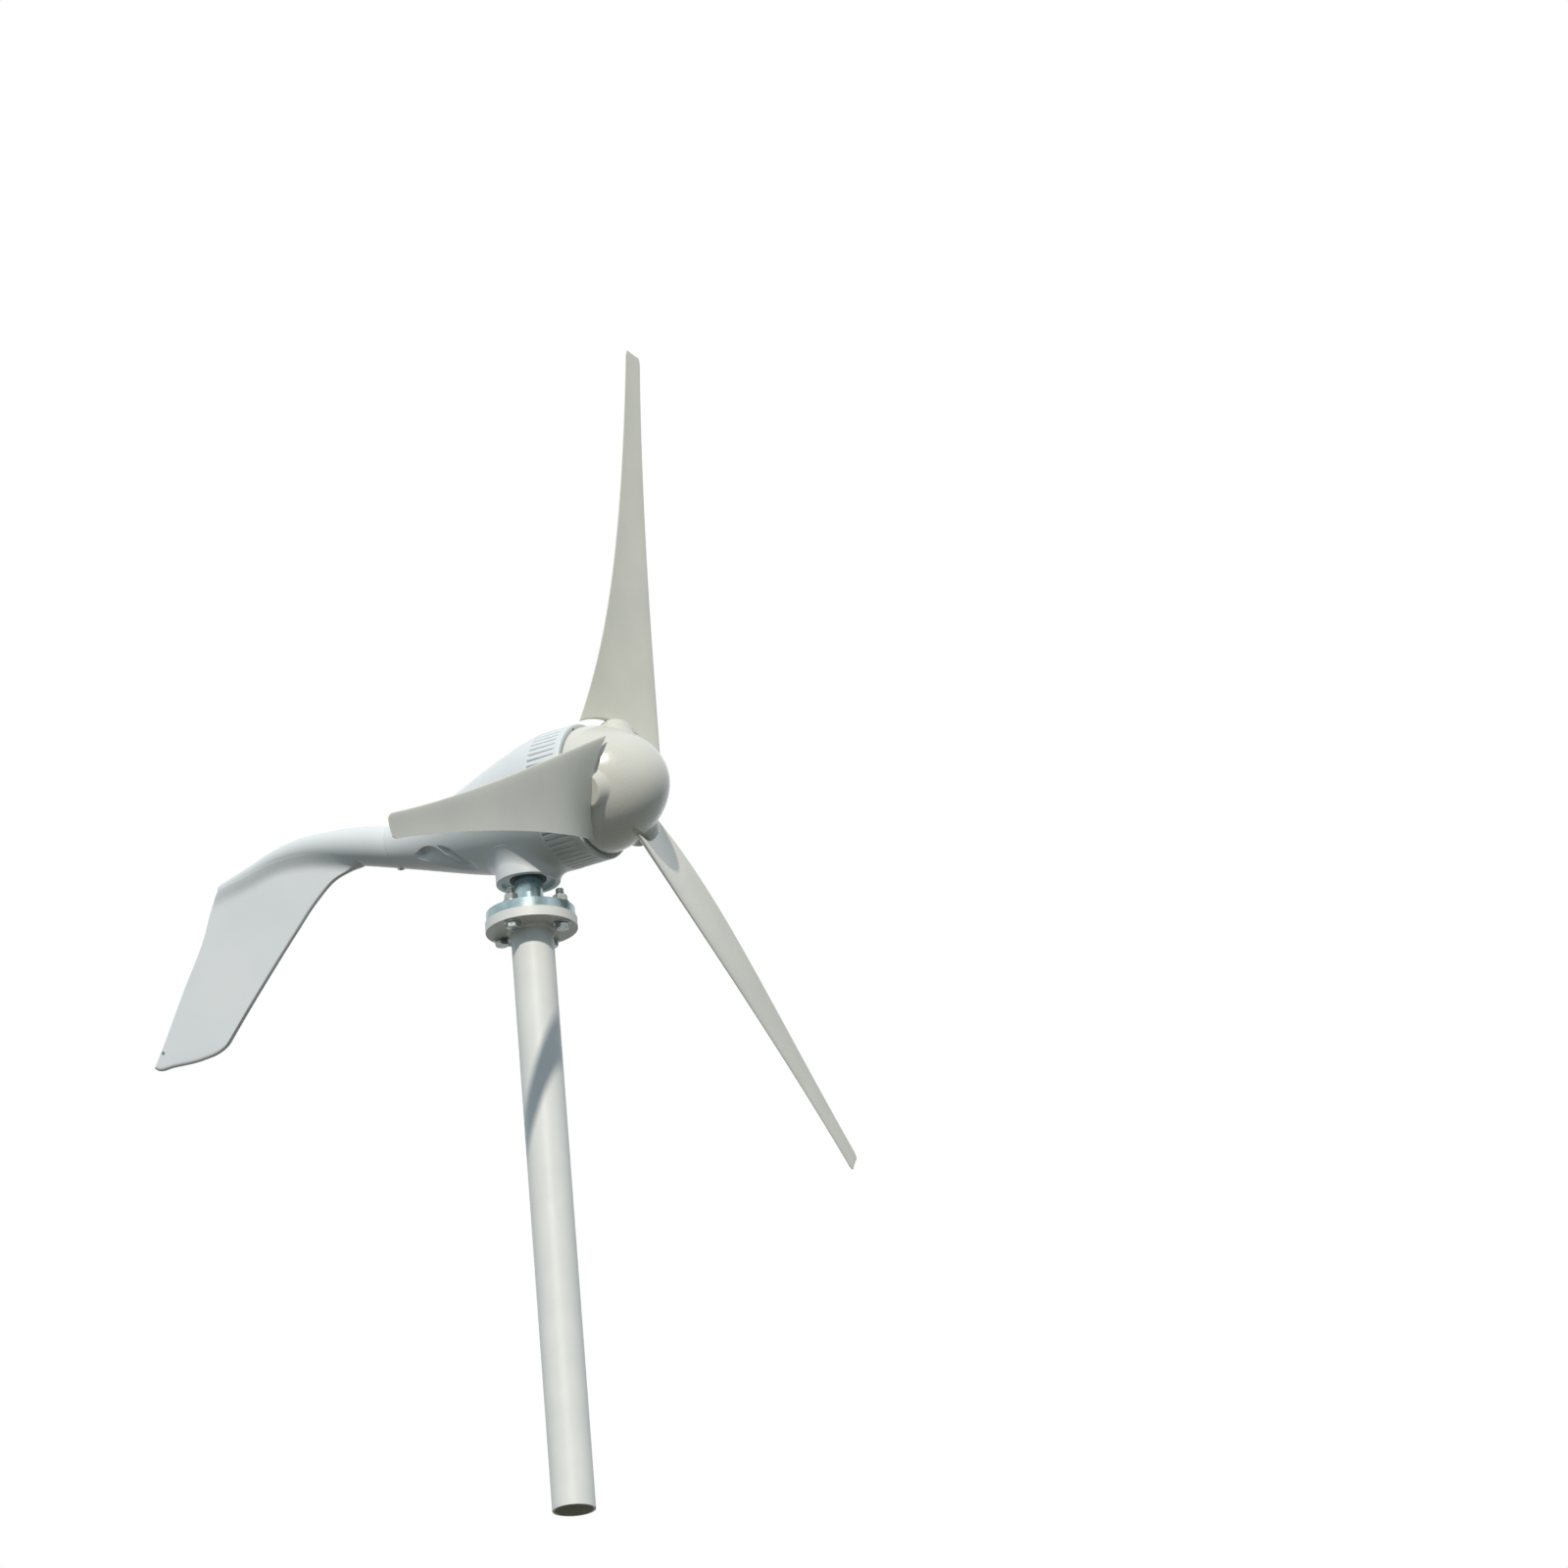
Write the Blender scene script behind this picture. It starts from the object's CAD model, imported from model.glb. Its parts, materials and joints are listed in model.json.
import json
import logging
from dataclasses import dataclass, field
from enum import Enum
from math import cos, pi, radians, sin, tan

import bmesh
import bpy
import numpy as np
from mathutils import Matrix, Vector


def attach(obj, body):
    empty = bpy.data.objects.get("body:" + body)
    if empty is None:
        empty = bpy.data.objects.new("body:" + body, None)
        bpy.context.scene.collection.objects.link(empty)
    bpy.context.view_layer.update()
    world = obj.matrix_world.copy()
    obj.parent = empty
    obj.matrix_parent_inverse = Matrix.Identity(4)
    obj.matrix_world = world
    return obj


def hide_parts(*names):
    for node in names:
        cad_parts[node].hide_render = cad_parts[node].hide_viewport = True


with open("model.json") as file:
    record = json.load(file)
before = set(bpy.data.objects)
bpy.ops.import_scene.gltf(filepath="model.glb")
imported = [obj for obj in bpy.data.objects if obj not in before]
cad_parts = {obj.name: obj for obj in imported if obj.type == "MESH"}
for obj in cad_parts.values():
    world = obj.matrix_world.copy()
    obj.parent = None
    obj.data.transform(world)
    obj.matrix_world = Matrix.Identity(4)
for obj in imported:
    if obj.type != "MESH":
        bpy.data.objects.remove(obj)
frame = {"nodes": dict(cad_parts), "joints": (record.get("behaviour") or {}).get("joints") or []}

# Looks of a small wind turbine. Shapes are worked out in millimetres and put into meshes in metres.
# Row frame: +Z up, the rotor faces -Y, the tail points to +Y. Rotor frame: X across, Y up, Z forward.

MM = 0.001
LOG = logging.getLogger("turbine")
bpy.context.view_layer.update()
MERGE = 1e-7                     # metres, closer than which two points of a mesh are one
POLE = 1e-6                      # millimetres, a radius below which a ring is closed to a point


# ---- the frame's places ----------------------------------------------------------------------------
def joint_place(name: str) -> np.ndarray:
    """Place of a joint at rest.

    Args:
        name: the joint's name in the record.
    Returns:
        Its point in millimetres.
    """
    found = next(joint for joint in frame["joints"] if joint["name"] == name)
    return np.array(found["pos_m"]) / MM


YAW_FACE = float(joint_place("yaw")[2])
AXIS_HEIGHT = float(joint_place("rotor_spin")[2])


def from_rotor(x: np.ndarray, up: np.ndarray, forward: np.ndarray) -> np.ndarray:
    """Points of the rotor frame put in the row frame.

    Args:
        x: across, equal in both frames.
        up: height above the rotor axis.
        forward: distance in front of the yaw axis.
    Returns:
        Points with their three coordinates last.
    """
    x, up, forward = np.broadcast_arrays(x, up, forward)
    return np.stack([x, -forward, AXIS_HEIGHT + up], axis=-1)


# ---- numbers ---------------------------------------------------------------------------------------
def smooth_step(value: np.ndarray, low: float, high: float) -> np.ndarray:
    """Rise from 0 at low to 1 at high along the cubic 3u^2 - 2u^3."""
    share = np.clip((value - low) / (high - low), 0.0, 1.0)
    return share * share * (3.0 - 2.0 * share)


def through(x: np.ndarray, knots: list[float], values: list[float]) -> np.ndarray:
    """Smooth curve through given points.

    Each span is a cubic Hermite curve, and the slope at a knot is that of its neighbours' chord.

    Args:
        x: where the curve is wanted.
        knots: rising positions.
        values: the curve's values there.
    Returns:
        The curve's values at x.
    """
    k = np.array(knots, float)
    v = np.array(values, float)
    slopes = np.gradient(v, k)
    x = np.clip(x, k[0], k[-1])
    i = np.clip(np.searchsorted(k, x, side="right") - 1, 0, len(k) - 2)
    width = k[i + 1] - k[i]
    t = (x - k[i]) / width
    start = (1 + 2 * t) * (1 - t) ** 2 * v[i] + t * (1 - t) ** 2 * width * slopes[i]
    end = t * t * (3 - 2 * t) * v[i + 1] + t * t * (t - 1) * width * slopes[i + 1]
    return start + end


def turns(count: int) -> np.ndarray:
    """Angles spread evenly over a full turn, without the repeated last one."""
    return np.arange(count) * (2 * pi / count)


def around(radius: np.ndarray, angle: np.ndarray, height: np.ndarray) -> np.ndarray:
    """Points (r cos a, r sin a, height) round the upright axis, with their coordinates last."""
    return np.stack(np.broadcast_arrays(radius * np.cos(angle), radius * np.sin(angle), height), axis=-1)


def revolved(profile: np.ndarray, count: int) -> np.ndarray:
    """Grid of a profile's rows of radius and height, carried round the upright axis in count points."""
    return around(profile[:, :1], turns(count)[None, :], profile[:, 1:])


def rounded_bar(half_width: np.ndarray, half_thickness: np.ndarray, power: np.ndarray,
                angle: np.ndarray) -> tuple[np.ndarray, np.ndarray]:
    """Outline of a bar with rounded edges, |x/a|^n + |z/b|^n = 1.

    Args:
        half_width: a, the outline's reach along x.
        half_thickness: b, its reach along z.
        power: n, 2 for an ellipse and more for squarer edges.
        angle: places round the outline.
    Returns:
        x and z of each place.
    """
    c, s = np.cos(angle), np.sin(angle)
    x = half_width * np.sign(c) * np.abs(c) ** (2 / power)
    z = half_thickness * np.sign(s) * np.abs(s) ** (2 / power)
    return x, z


# ---- meshes ----------------------------------------------------------------------------------------
@dataclass
class Surface:
    """A grid of points in millimetres, rows by columns, that is closed along an axis where it wraps."""

    points: np.ndarray
    wrap_rows: bool = False
    wrap_cols: bool = True

    def faces(self) -> np.ndarray:
        """Quads between neighbouring points.

        Returns:
            Rows of four point indices.
        """
        rows, cols = self.points.shape[:2]
        i = np.arange(rows if self.wrap_rows else rows - 1)[:, None]
        j = np.arange(cols if self.wrap_cols else cols - 1)[None, :]
        below = (i + 1) % rows
        beside = (j + 1) % cols
        corners = [i * cols + j, i * cols + beside, below * cols + beside, below * cols + j]
        return np.stack(np.broadcast_arrays(*corners), axis=-1).reshape(-1, 4)

    def outward(self) -> np.ndarray:
        """The quads turned so that the closed surface's signed volume is positive.

        Returns:
            Rows of four point indices.
        """
        quads = self.faces()
        flat = self.points.reshape(-1, 3)
        a, b, c, d = (flat[quads[:, k]] for k in range(4))
        volume = np.einsum("ij,ij->", a, np.cross(b, c)) + np.einsum("ij,ij->", a, np.cross(c, d))
        return quads if volume > 0 else quads[:, ::-1]


def raw_mesh(name: str, surfaces: list[Surface]) -> bpy.types.Object:
    """Mesh object from closed grids, with doubled points merged and empty faces removed.

    Args:
        name: the object's name.
        surfaces: its closed grids.
    Returns:
        The object, which stays at the origin.
    """
    points = np.concatenate([surface.points.reshape(-1, 3) for surface in surfaces]) * MM
    quads, start = [], 0
    for surface in surfaces:
        quads.append(surface.outward() + start)
        start += surface.points.shape[0] * surface.points.shape[1]
    loops = np.concatenate(quads)
    mesh = bpy.data.meshes.new(name)
    mesh.vertices.add(len(points))
    mesh.vertices.foreach_set("co", points.astype(np.float32).ravel())
    mesh.loops.add(loops.size)
    mesh.loops.foreach_set("vertex_index", loops.astype(np.int32).ravel())
    mesh.polygons.add(len(loops))
    mesh.polygons.foreach_set("loop_start", np.arange(0, loops.size, 4, dtype=np.int32))
    mesh.update(calc_edges=True)
    form = bmesh.new()
    form.from_mesh(mesh)
    bmesh.ops.remove_doubles(form, verts=form.verts, dist=MERGE)
    bmesh.ops.dissolve_degenerate(form, dist=MERGE, edges=form.edges)
    form.to_mesh(mesh)
    form.free()
    piece = bpy.data.objects.new(name, mesh)
    bpy.context.scene.collection.objects.link(piece)
    return piece


def cut(piece: bpy.types.Object, cutters: list[Surface]) -> None:
    """Takes closed grids away from a piece with an exact Boolean, which is applied at once.

    Args:
        piece: the object that is cut.
        cutters: closed grids of what is taken away.
    """
    for cutter in cutters:
        tool = raw_mesh("cutter", [cutter])
        modifier = piece.modifiers.new("cut", "BOOLEAN")
        modifier.operation = "DIFFERENCE"
        modifier.solver = "EXACT"
        modifier.object = tool
        graph = bpy.context.evaluated_depsgraph_get()
        result = bpy.data.meshes.new_from_object(piece.evaluated_get(graph))
        piece.modifiers.clear()
        piece.data = result
        bpy.data.objects.remove(tool)


def finish_piece(piece: bpy.types.Object, finish: "Finish", body: str, nodes: list[str],
                 crease: float = 40.0) -> bpy.types.Object:
    """Shades, dresses and places a new piece.

    Args:
        piece: the mesh object.
        finish: its finish.
        body: the CAD body that it rides on.
        nodes: the CAD nodes that it stands for.
        crease: edges sharper than this many degrees stay sharp.
    Returns:
        The piece.
    """
    mesh = piece.data
    mesh.polygons.foreach_set("use_smooth", np.ones(len(mesh.polygons), bool))
    mesh.set_sharp_from_angle(angle=radians(crease))
    mesh.materials.clear()
    mesh.materials.append(finish.material())
    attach(piece, body)
    if nodes:
        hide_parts(*nodes)
    LOG.info("%s: %d faces on %s for %s", piece.name, len(mesh.polygons), body, nodes or "no CAD node")
    return piece


# ---- finishes --------------------------------------------------------------------------------------
class Pattern(Enum):
    """Relief that a finish has besides its grain."""

    NONE = "none"
    SHEETS = "sheets"          # stacked sheets across the rotor axis
    WOUND = "wound"            # wire laid side by side
    TURNED = "turned"          # fine rings left by a lathe round an upright axis


def linear(text: str) -> tuple[float, float, float, float]:
    """Linear colour from an sRGB hex value, by the sRGB curve with its straight part near black.

    Args:
        text: a hash and six hex digits, such as "#c8ccc8".
    Returns:
        Red, green and blue from 0 to 1, and full alpha.
    """
    shares = [int(text[k:k + 2], 16) / 255 for k in (1, 3, 5)]
    made = [s / 12.92 if s <= 0.04045 else ((s + 0.055) / 1.055) ** 2.4 for s in shares]
    return (*made, 1.0)


def add(tree: bpy.types.NodeTree, kind: str, inputs: dict | None = None,
        **settings: object) -> bpy.types.Node:
    """Adds one node.

    Args:
        tree: the material's or the world's node tree.
        kind: the node's type name.
        inputs: socket name or index to a value, or to the output socket that feeds it.
        settings: properties of the node itself.
    Returns:
        The node.
    """
    made = tree.nodes.new(kind)
    for name, value in settings.items():
        setattr(made, name, value)
    for name, value in (inputs or {}).items():
        if isinstance(value, bpy.types.NodeSocket):
            tree.links.new(value, made.inputs[name])
        else:
            made.inputs[name].default_value = value
    return made


# Sockets of a Mix node that mixes colours.
MIX_FACTOR, MIX_FIRST, MIX_SECOND, MIX_RESULT = 0, 6, 7, 2
CLOUD_DETAIL, GRAIN_DETAIL = 3.0, 2.0
CLOUD_SPREAD = (0.35, 0.65)      # noise values that the colour's drift runs between
GRAIN_SPREAD = (0.3, 0.7)        # noise values that the roughness runs between
WAVE_RATE = 20                   # radians that a wave of scale 1 runs through in a metre


@dataclass(frozen=True)
class Finish:
    """A surface: its colours, gloss, cloudiness and grain, with pattern sizes in millimetres."""

    name: str
    slot: str
    colour: str
    cloud: str                       # colour that the base drifts to
    cloud_size: float = 120.0
    grain_size: float = 1.5
    grain_depth: float = 0.01        # height of the grain's bumps
    stretch: tuple[float, float, float] = (1.0, 1.0, 1.0)
    metallic: float = 0.0
    roughness: float = 0.4
    roughness_drift: float = 0.06
    ior: float = 1.5
    coat: float = 0.0
    coat_roughness: float = 0.1
    pattern: Pattern = Pattern.NONE
    pattern_size: float = 1.0
    pattern_depth: float = 0.1

    def material(self) -> bpy.types.Material:
        """The finish as a node material, made once.

        Returns:
            The material of the finish's name.
        """
        made = bpy.data.materials.get(self.name)
        if made is not None:
            return made
        made = bpy.data.materials.new(self.name)
        made.use_nodes = True
        tree = made.node_tree
        tree.nodes.clear()
        place = add(tree, "ShaderNodeTexCoord").outputs["Object"]
        drawn = add(tree, "ShaderNodeMapping", {"Vector": place, "Scale": self.stretch}).outputs["Vector"]
        cloud = add(tree, "ShaderNodeTexNoise", {
            "Vector": place, "Scale": 1 / (self.cloud_size * MM), "Detail": CLOUD_DETAIL})
        grain = add(tree, "ShaderNodeTexNoise", {
            "Vector": drawn, "Scale": 1 / (self.grain_size * MM), "Detail": GRAIN_DETAIL})
        drift = add(tree, "ShaderNodeMapRange", {
            "Value": cloud.outputs["Fac"], "From Min": CLOUD_SPREAD[0], "From Max": CLOUD_SPREAD[1]})
        colour = add(tree, "ShaderNodeMix", {
            MIX_FACTOR: drift.outputs["Result"], MIX_FIRST: linear(self.colour),
            MIX_SECOND: linear(self.cloud)}, data_type="RGBA")
        rough = add(tree, "ShaderNodeMapRange", {
            "Value": grain.outputs["Fac"], "From Min": GRAIN_SPREAD[0], "From Max": GRAIN_SPREAD[1],
            "To Min": self.roughness - self.roughness_drift,
            "To Max": self.roughness + self.roughness_drift})
        bump = add(tree, "ShaderNodeBump", {
            "Height": grain.outputs["Fac"], "Strength": 1.0, "Distance": self.grain_depth * MM})
        normal = self.relief(tree, place, bump.outputs["Normal"])
        shader = add(tree, "ShaderNodeBsdfPrincipled", {
            "Base Color": colour.outputs[MIX_RESULT], "Roughness": rough.outputs["Result"],
            "Metallic": self.metallic, "IOR": self.ior, "Coat Weight": self.coat,
            "Coat Roughness": self.coat_roughness, "Normal": normal})
        add(tree, "ShaderNodeOutputMaterial", {"Surface": shader.outputs["BSDF"]})
        return made

    def relief(self, tree: bpy.types.NodeTree, place: bpy.types.NodeSocket,
               normal: bpy.types.NodeSocket) -> bpy.types.NodeSocket:
        """Adds the pattern's bumps to the grain's.

        Args:
            tree: the material's node tree.
            place: object coordinates.
            normal: the normal with the grain's bumps.
        Returns:
            The normal to use.
        """
        if self.pattern is Pattern.NONE:
            return normal
        direction = {Pattern.SHEETS: "Y", Pattern.WOUND: "DIAGONAL", Pattern.TURNED: "Z"}[self.pattern]
        kind = "RINGS" if self.pattern is Pattern.TURNED else "BANDS"
        settings = {"wave_type": kind}
        settings["rings_direction" if kind == "RINGS" else "bands_direction"] = direction
        scale = 2 * pi / (WAVE_RATE * self.pattern_size * MM)
        wave = add(tree, "ShaderNodeTexWave", {"Vector": place, "Scale": scale}, **settings)
        bump = add(tree, "ShaderNodeBump", {
            "Height": wave.outputs["Fac"], "Strength": 1.0, "Distance": self.pattern_depth * MM,
            "Normal": normal})
        return bump.outputs["Normal"]


# Polyester powder coat on cast aluminium: satin white with a faint orange peel.
BODY_COAT = Finish("satin_powder_coat_white", "white_paint", "#dadfe1", "#d5dbde", grain_size=2.2,
                   grain_depth=0.012, roughness=0.38, coat=0.15, coat_roughness=0.25)
# Gel coat over glass fibre, polished by the mould: smooth, glossier than the powder coat.
SPINNER_COAT = Finish("polished_gel_coat_white", "white_gelcoat", "#d5d5ce", "#d0d0c8", grain_size=5.0,
                      grain_depth=0.008, roughness=0.24, coat=0.2, coat_roughness=0.12)
# Gel coat on long blades: pale warm grey, duller than the nose, with a faint drift from the lay-up.
BLADE_COAT = Finish("blade_gel_coat_pale_grey", "blade_gelcoat", "#dbdace", "#d4d4c9", cloud_size=90.0,
                    grain_size=4.0, grain_depth=0.012, roughness=0.34, coat=0.2, coat_roughness=0.2)
# Brushed-on two-pack enamel on steel pipe: white with slight sags and dust.
MAST_ENAMEL = Finish("white_enamel_on_pipe", "mast_paint", "#e3e5e3", "#dde0de", cloud_size=60.0,
                     grain_size=3.0, grain_depth=0.02, stretch=(1.0, 1.0, 0.4), roughness=0.42)
# Zinc plate with a blue passivate: bluish grey metal, cloudy, softly glossy.
ZINC = Finish("zinc_plate_blue_passivate", "zinc_plate", "#a9bcc0", "#8fa7ad", cloud_size=14.0,
              grain_size=0.8, grain_depth=0.004, metallic=1.0, roughness=0.27, roughness_drift=0.05,
              pattern=Pattern.TURNED, pattern_size=0.9, pattern_depth=0.003)
# Hot-dipped fasteners: duller zinc with a fine spangle.
ZINC_BOLT = Finish("dull_zinc_on_fasteners", "zinc_fastener", "#a3a8a5", "#8a908d", cloud_size=5.0,
                   grain_size=0.6, grain_depth=0.01, metallic=1.0, roughness=0.36)
# Turned and ground carbon steel: fine rings, slightly oily.
MACHINED = Finish("turned_steel", "machined_steel", "#9a9c9c", "#8b8e8f", cloud_size=20.0,
                  grain_size=0.4, metallic=1.0, roughness=0.3, pattern=Pattern.TURNED, pattern_size=0.7,
                  pattern_depth=0.004)
# Ground bearing steel: near mirror.
BEARING = Finish("ground_bearing_steel", "bearing_steel", "#b4b6b8", "#a9acaf", cloud_size=15.0,
                 grain_size=0.3, grain_depth=0.001, metallic=1.0, roughness=0.15, roughness_drift=0.03)
# Cold-headed stainless steel: warm grey, softly brushed.
STAINLESS = Finish("stainless_steel_fasteners", "stainless_steel", "#b5b2ab", "#a6a49e", cloud_size=6.0,
                   grain_size=0.5, metallic=1.0, roughness=0.28)
# Sand-cast aluminium as it leaves the mould: pale, rough skin.
CASTING = Finish("raw_cast_aluminium", "cast_aluminium", "#b3b5b6", "#a0a3a5", cloud_size=25.0,
                 grain_size=1.0, grain_depth=0.05, metallic=1.0, roughness=0.5)
# Nitrile rubber: black, matt, slightly bloomed.
RUBBER = Finish("nitrile_seal_rubber", "seal_rubber", "#1d1e1f", "#28292a", cloud_size=8.0,
                grain_size=0.5, roughness=0.65, ior=1.52)
# Moulded phenolic: brown-black, dull gloss.
PHENOLIC = Finish("moulded_black_phenolic", "black_phenolic", "#1a1715", "#241f1b", cloud_size=10.0,
                  grain_size=0.7, roughness=0.4, ior=1.58)
# Turned brass rings, polished by the brushes.
BRASS = Finish("turned_brass", "slip_ring_brass", "#c9a45a", "#b8914a", cloud_size=10.0, grain_size=0.4,
               metallic=1.0, roughness=0.22, pattern=Pattern.TURNED, pattern_size=0.6,
               pattern_depth=0.004)
# Pressed electrographite: matt grey-black with metallic glints.
CARBON = Finish("pressed_electrographite", "brush_carbon", "#26272a", "#303236", cloud_size=3.0,
                grain_size=0.3, metallic=0.3, roughness=0.55)
# Punched silicon steel sheets of 0.5 mm; drawn as 1 mm bands so that they show.
LAMINATION = Finish("stacked_silicon_steel", "lamination_steel", "#6f7378", "#62666b", cloud_size=12.0,
                    grain_size=0.5, metallic=1.0, roughness=0.45, pattern=Pattern.SHEETS,
                    pattern_size=1.0, pattern_depth=0.08)
# Enamelled copper wire of 1 mm, laid side by side.
COPPER = Finish("enamelled_copper_wire", "copper_winding", "#b3642f", "#9c5426", cloud_size=9.0,
                grain_size=0.6, metallic=0.9, roughness=0.3, coat=0.5, pattern=Pattern.WOUND,
                pattern_size=1.0, pattern_depth=0.25)
# Sintered magnets plated with nickel: bright, slightly yellow.
NICKEL = Finish("nickel_plated_magnet", "magnet_nickel", "#bdb8ac", "#aea99d", cloud_size=10.0,
                grain_size=0.4, metallic=1.0, roughness=0.2)

FINISHES = [BODY_COAT, SPINNER_COAT, BLADE_COAT, MAST_ENAMEL, ZINC, ZINC_BOLT, MACHINED, BEARING,
            STAINLESS, CASTING, RUBBER, PHENOLIC, BRASS, CARBON, LAMINATION, COPPER, NICKEL]


def dress_nodes() -> None:
    """Gives every CAD node the finish of its material slot."""
    by_slot = {finish.slot: finish for finish in FINISHES}
    for name, node in frame["nodes"].items():
        for holder in node.material_slots:
            slot = holder.material.name.split(".")[0]
            finish = by_slot.get(slot)
            if finish is None:
                LOG.warning("node %s has an unknown slot %s", name, slot)
                continue
            holder.material = finish.material()
        LOG.info("dressed %s", name)


# ---- mast ------------------------------------------------------------------------------------------
@dataclass
class MastHead:
    """Weld bead, bolts and nuts of the mast's flange. Sizes in millimetres, angles in radians."""

    pipe_radius: float = 30.15
    flange_thickness: float = 14.0
    weld_radius: float = 4.4
    weld_out: float = 0.9            # the bead's centre stands off the pipe
    weld_down: float = 1.2           # and below the flange
    weld_ripples: int = 62
    weld_swell: float = 0.05         # share of the radius that a ripple adds
    weld_lean: float = 0.03          # how far the ripples bend back at the lower edge
    weld_points: tuple[int, int] = (6, 20)           # to a ripple, and round the section
    bolt_circle: float = 50.0
    bolt_count: int = 4
    bolt_radius: float = 6.0
    bolt_tip: float = 1.4            # chamfer at the threaded end
    thread_pitch: float = 1.75
    thread_depth: float = 0.95
    thread_fullness: float = 0.8     # below 1 the groove is rounder than a V
    washer_thickness: float = 2.5
    across_flats: float = 18.0
    hexagon_points: int = 96
    face_share: float = 0.96         # washer face's circle as a share of the flats' distance
    chamfer_slope: float = radians(58)
    head_height: float = 7.5
    head_turn: float = 0.35
    shank_sunk: float = 1.0          # the shank starts inside the head
    nut_height: float = 10.0
    nut_turn: float = 0.2
    nut_overlap: float = 0.4         # the nut's bore reaches into the thread
    tail: float = 10.0

    def weld(self) -> Surface:
        """Bead in the corner below the flange.

        A circle of the weld's radius is carried round the pipe, and its radius swells and shrinks by a
        small share at every ripple, with the ripples bent back towards the lower edge.

        Returns:
            The bead, a closed ring.
        """
        to_ripple, to_section = self.weld_points
        round_pipe = turns(to_ripple * self.weld_ripples)[None, :]
        section = turns(to_section)[:, None]
        ripple = np.cos(self.weld_ripples * (round_pipe + self.weld_lean * np.sin(section)))
        radius = self.weld_radius * (1 + self.weld_swell * ripple)
        reach = self.pipe_radius + self.weld_out + radius * np.cos(section)
        centre_height = YAW_FACE - self.flange_thickness - self.weld_down
        height = centre_height + radius * np.sin(section)
        return Surface(around(reach, round_pipe, height), wrap_rows=True)

    def hexagon(self, low: float, high: float, bore: float) -> Surface:
        """Chamfered hexagonal prism.

        The side's distance is that of a hexagon, a / cos(angle from the flat's middle), cut back near
        both ends by a cone that starts at the washer face's circle.

        Args:
            low: height of the lower face.
            high: height of the upper face.
            bore: radius of the hole, 0 for none.
        Returns:
            The prism about the upright axis.
        """
        flat = self.across_flats / 2
        angle = turns(self.hexagon_points)[None, :]
        side = flat / np.cos((angle + pi / 6) % (pi / 3) - pi / 6)
        steps = np.array([0.0, 0.35, 0.7, 1.1, 1.6])       # rings of the chamfer, from either face
        inset = np.concatenate([steps, steps[::-1]])[:, None]
        height = np.concatenate([low + steps, high - steps[::-1]])[:, None]
        radius = np.minimum(side, self.face_share * flat + inset * tan(self.chamfer_slope))
        inner = np.full((1, angle.size), bore)
        radius = np.concatenate([inner, radius, inner])
        height = np.concatenate([[[low]], height, [[high]]])
        return Surface(around(radius, angle, height), wrap_rows=bore > 0)

    def shank(self, low: float, high: float) -> Surface:
        """Threaded shank.

        Its radius is the outer one less the thread's depth times a triangle wave of height over pitch
        minus turn, so that the groove climbs one pitch a turn; the end is chamfered.

        Args:
            low: height where it starts.
            high: height of its end.
        Returns:
            The shank about the upright axis.
        """
        rows_per_pitch = 7
        height = np.arange(low, high, self.thread_pitch / rows_per_pitch)[:, None]
        angle = turns(6 * rows_per_pitch)[None, :]
        phase = (height / self.thread_pitch - angle / (2 * pi)) % 1.0
        groove = self.thread_depth * (1 - np.abs(2 * phase - 1)) ** self.thread_fullness
        chamfer = np.clip(self.bolt_radius - self.bolt_tip + (high - height), 0, self.bolt_radius)
        radius = np.minimum(self.bolt_radius - groove, chamfer)
        cap = np.zeros((1, angle.size))
        radius = np.concatenate([cap, radius, cap])
        height = np.concatenate([height[:1], height, height[-1:]])
        return Surface(around(radius, angle, height))

    def placed(self, surface: Surface, turn: float) -> list[Surface]:
        """Copies of a surface on the bolt circle.

        Args:
            surface: what is copied, about the upright axis.
            turn: how far each copy is turned about itself.
        Returns:
            One copy for each bolt.
        """
        x, y, z = np.moveaxis(surface.points, -1, 0)
        copies = []
        for angle in turns(self.bolt_count):
            c, s = cos(angle + turn), sin(angle + turn)
            moved_x = c * x - s * y + self.bolt_circle * cos(angle)
            moved_y = s * x + c * y + self.bolt_circle * sin(angle)
            moved = np.stack([moved_x, moved_y, z], axis=-1)
            copies.append(Surface(moved, surface.wrap_rows, surface.wrap_cols))
        return copies

    def build(self) -> None:
        """Makes the bead, the bolts and the nuts."""
        finish_piece(raw_mesh("weld_bead", [self.weld()]), MAST_ENAMEL, "mast", ["mast_weld"], crease=60)
        head_top = YAW_FACE - self.flange_thickness - self.washer_thickness
        nut_low = YAW_FACE + self.flange_thickness + self.washer_thickness
        nut_high = nut_low + self.nut_height
        head = self.hexagon(head_top - self.head_height, head_top, 0.0)
        shank = self.shank(head_top - self.shank_sunk, nut_high + self.tail)
        parts = self.placed(head, self.head_turn) + self.placed(shank, 0.0)
        bolts = raw_mesh("threaded_flange_bolts", parts)
        finish_piece(bolts, ZINC_BOLT, "mast", ["flange_bolts"], crease=35)
        nut = self.hexagon(nut_low, nut_high, self.bolt_radius - self.nut_overlap)
        nuts = raw_mesh("chamfered_flange_nuts", self.placed(nut, self.nut_turn))
        finish_piece(nuts, ZINC_BOLT, "mast", ["flange_nuts"], crease=35)


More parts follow.
